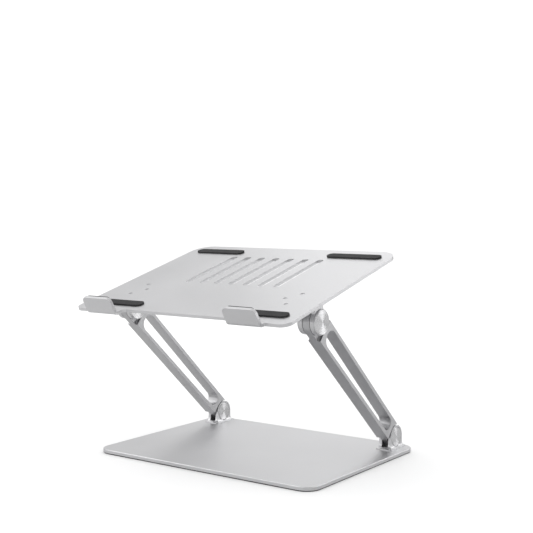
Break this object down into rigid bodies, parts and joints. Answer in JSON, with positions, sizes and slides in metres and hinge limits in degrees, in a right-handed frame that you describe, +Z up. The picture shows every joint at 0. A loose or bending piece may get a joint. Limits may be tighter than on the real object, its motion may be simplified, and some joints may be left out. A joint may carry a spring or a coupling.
{
  "type": "laptop stand",
  "caption": "Folding aluminium desk stand that raises a laptop: flat base, slotted legs on friction hinges and a tilting tray with padded front hooks.",
  "frame": {"origin": "centre of the underside of the base, on the desk", "axes": "+X to the user's right, +Y away from the user to the hinged back edge of the base, +Z up"},
  "size_m": [0.26, 0.2426, 0.2044],
  "materials": {
    "anodised_sheet": "bead-blasted, clear anodised",
    "anodised_bracket": "bead-blasted, clear anodised",
    "anodised_leg": "bead-blasted, clear anodised",
    "spun_disc": "turned face with fine concentric rings",
    "steel": "plain zinc-plated steel",
    "bush_bronze": "plain bearing bronze",
    "black_nylon": "moulded nylon",
    "rubber_mat": "matt silicone sheet",
    "rubber_pad": "matt silicone"
  },
  "bodies": {
    "base": {"base_plate": "anodised_sheet", "base_mat": "rubber_mat", "left_base_bracket": "anodised_bracket", "right_base_bracket": "anodised_bracket", "base_bracket_screws": "steel", "left_lower_shaft": "steel", "right_lower_shaft": "steel", "lower_shaft_collars": "steel", "lower_friction_washers": "black_nylon", "left_lower_outer_cap": "spun_disc", "left_lower_inner_cap": "spun_disc", "right_lower_outer_cap": "spun_disc", "right_lower_inner_cap": "spun_disc"},
    "legs": {"left_leg": "anodised_leg", "right_leg": "anodised_leg", "left_lower_bush": "bush_bronze", "right_lower_bush": "bush_bronze", "left_upper_bush": "bush_bronze", "right_upper_bush": "bush_bronze"},
    "tray": {"tray_plate": "anodised_sheet", "left_tray_bracket": "anodised_bracket", "right_tray_bracket": "anodised_bracket", "tray_bracket_screws": "steel", "left_upper_shaft": "steel", "right_upper_shaft": "steel", "upper_friction_washers": "black_nylon", "upper_spring_washers": "steel", "upper_shaft_nuts": "steel", "left_upper_outer_cap": "spun_disc", "left_upper_inner_cap": "spun_disc", "right_upper_outer_cap": "spun_disc", "right_upper_inner_cap": "spun_disc", "left_hook_pad": "rubber_pad", "right_hook_pad": "rubber_pad", "left_front_pad": "rubber_pad", "right_front_pad": "rubber_pad", "left_back_pad": "rubber_pad", "right_back_pad": "rubber_pad"}
  },
  "joints": [
    {"name": "legs_raise", "type": "hinge", "parent": "base", "child": "legs", "pos_m": [0, 0.079, 0.0163], "axis": [-1, 0, 0], "range_deg": [-34, 40]},
    {"name": "tray_tilt", "type": "hinge", "parent": "legs", "child": "tray", "pos_m": [0, -0.06628, 0.14711], "axis": [1, 0, 0], "range_deg": [-49, 50]}
  ]
}
